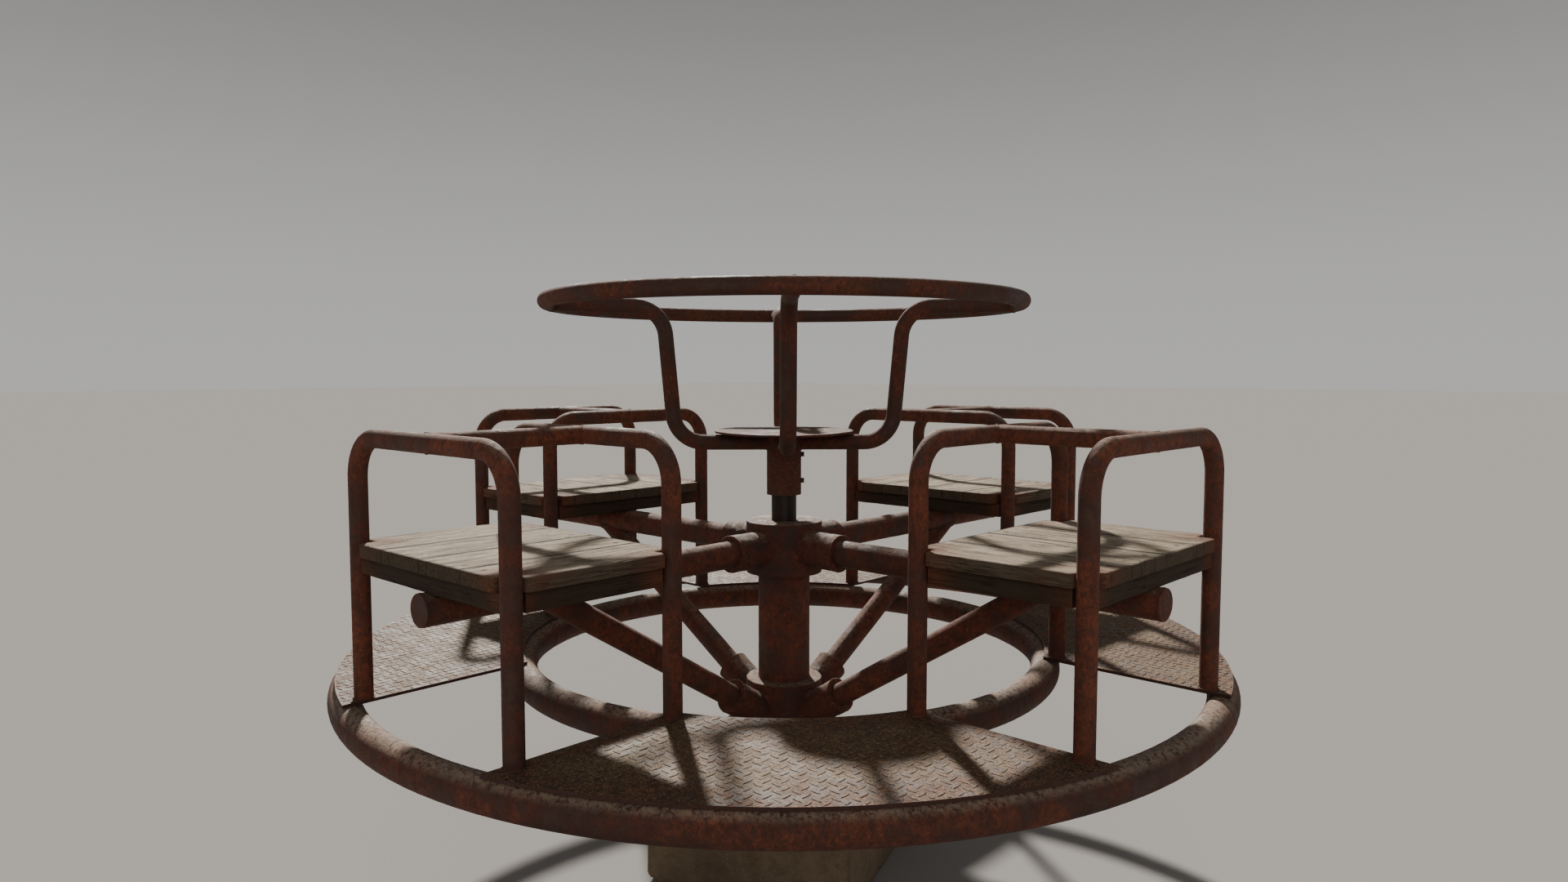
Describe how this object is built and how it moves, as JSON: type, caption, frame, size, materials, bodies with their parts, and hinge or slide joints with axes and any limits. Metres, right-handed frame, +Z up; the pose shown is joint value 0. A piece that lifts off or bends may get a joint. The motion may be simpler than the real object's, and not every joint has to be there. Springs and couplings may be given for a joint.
{
  "type": "merry go round",
  "caption": "Playground roundabout: bench seats with tube armrests on a pipe frame with tread plates, turning about a fixed axle with a fixed hand wheel on a concrete footing.",
  "frame": {"origin": "on the axle's axis at the underside of the concrete footing", "axes": "+Z up along the axle; +X outwards through the middle of seat 1; the other seats follow counter-clockwise"},
  "size_m": [1.8801, 1.8802, 1.2603],
  "materials": {
    "concrete": "weathered cast concrete, olive brown, chipped arrises",
    "base_steel": "rusted plate",
    "fastener_steel": "rusted",
    "axle_steel": "dark oily steel with rust bloom",
    "bearing_steel": "greased ground steel",
    "hub_iron": "rough rusted casting",
    "frame_steel": "pipe rusted through old paint, mottled orange and purple brown",
    "wheel_steel": "pipe rusted through old paint, worn smooth by hands",
    "tread_steel": "rusted tread plate with worn bars",
    "plank_wood": "silver grey weathered softwood, cracked, rust stained",
    "bearer_wood": "dark weathered softwood"
  },
  "bodies": {
    "base": {"footing": "concrete", "base_plate": "base_steel", "anchor_bolts": "fastener_steel", "anchor_nuts": "fastener_steel", "axle": "axle_steel", "lower_bearing_inner_race": "bearing_steel", "upper_bearing_inner_race": "bearing_steel", "wheel_sleeve": "wheel_steel", "wheel_ring": "wheel_steel", "wheel_plate": "wheel_steel", "set_bolts": "fastener_steel", "wheel_arm_1": "wheel_steel", "wheel_arm_2": "wheel_steel", "wheel_arm_3": "wheel_steel", "wheel_arm_4": "wheel_steel"},
    "rotor": {"seat_screws": "fastener_steel", "lower_bearing_outer_race": "bearing_steel", "upper_bearing_outer_race": "bearing_steel", "bearing_balls": "bearing_steel", "bearing_covers": "hub_iron", "lower_hub": "hub_iron", "upper_hub": "hub_iron", "column": "frame_steel", "spoke_caps": "frame_steel", "spoke_collars": "frame_steel", "brace_collars": "frame_steel", "outer_ring": "frame_steel", "inner_ring": "frame_steel", "spoke_1": "frame_steel", "brace_1": "frame_steel", "outer_frame_1": "frame_steel", "inner_frame_1": "frame_steel", "crossbar_1": "frame_steel", "footplate_1": "tread_steel", "bearers_1": "bearer_wood", "planks_1": "plank_wood", "spoke_2": "frame_steel", "brace_2": "frame_steel", "outer_frame_2": "frame_steel", "inner_frame_2": "frame_steel", "crossbar_2": "frame_steel", "footplate_2": "tread_steel", "bearers_2": "bearer_wood", "planks_2": "plank_wood", "spoke_3": "frame_steel", "brace_3": "frame_steel", "outer_frame_3": "frame_steel", "inner_frame_3": "frame_steel", "crossbar_3": "frame_steel", "footplate_3": "tread_steel", "bearers_3": "bearer_wood", "planks_3": "plank_wood", "spoke_4": "frame_steel", "brace_4": "frame_steel", "outer_frame_4": "frame_steel", "inner_frame_4": "frame_steel", "crossbar_4": "frame_steel", "footplate_4": "tread_steel", "bearers_4": "bearer_wood", "planks_4": "plank_wood"}
  },
  "joints": [
    {"name": "rotor_spin", "type": "hinge", "parent": "base", "child": "rotor", "pos_m": [0, 0, 0.473], "axis": [0, 0, 1], "continuous": true}
  ]
}
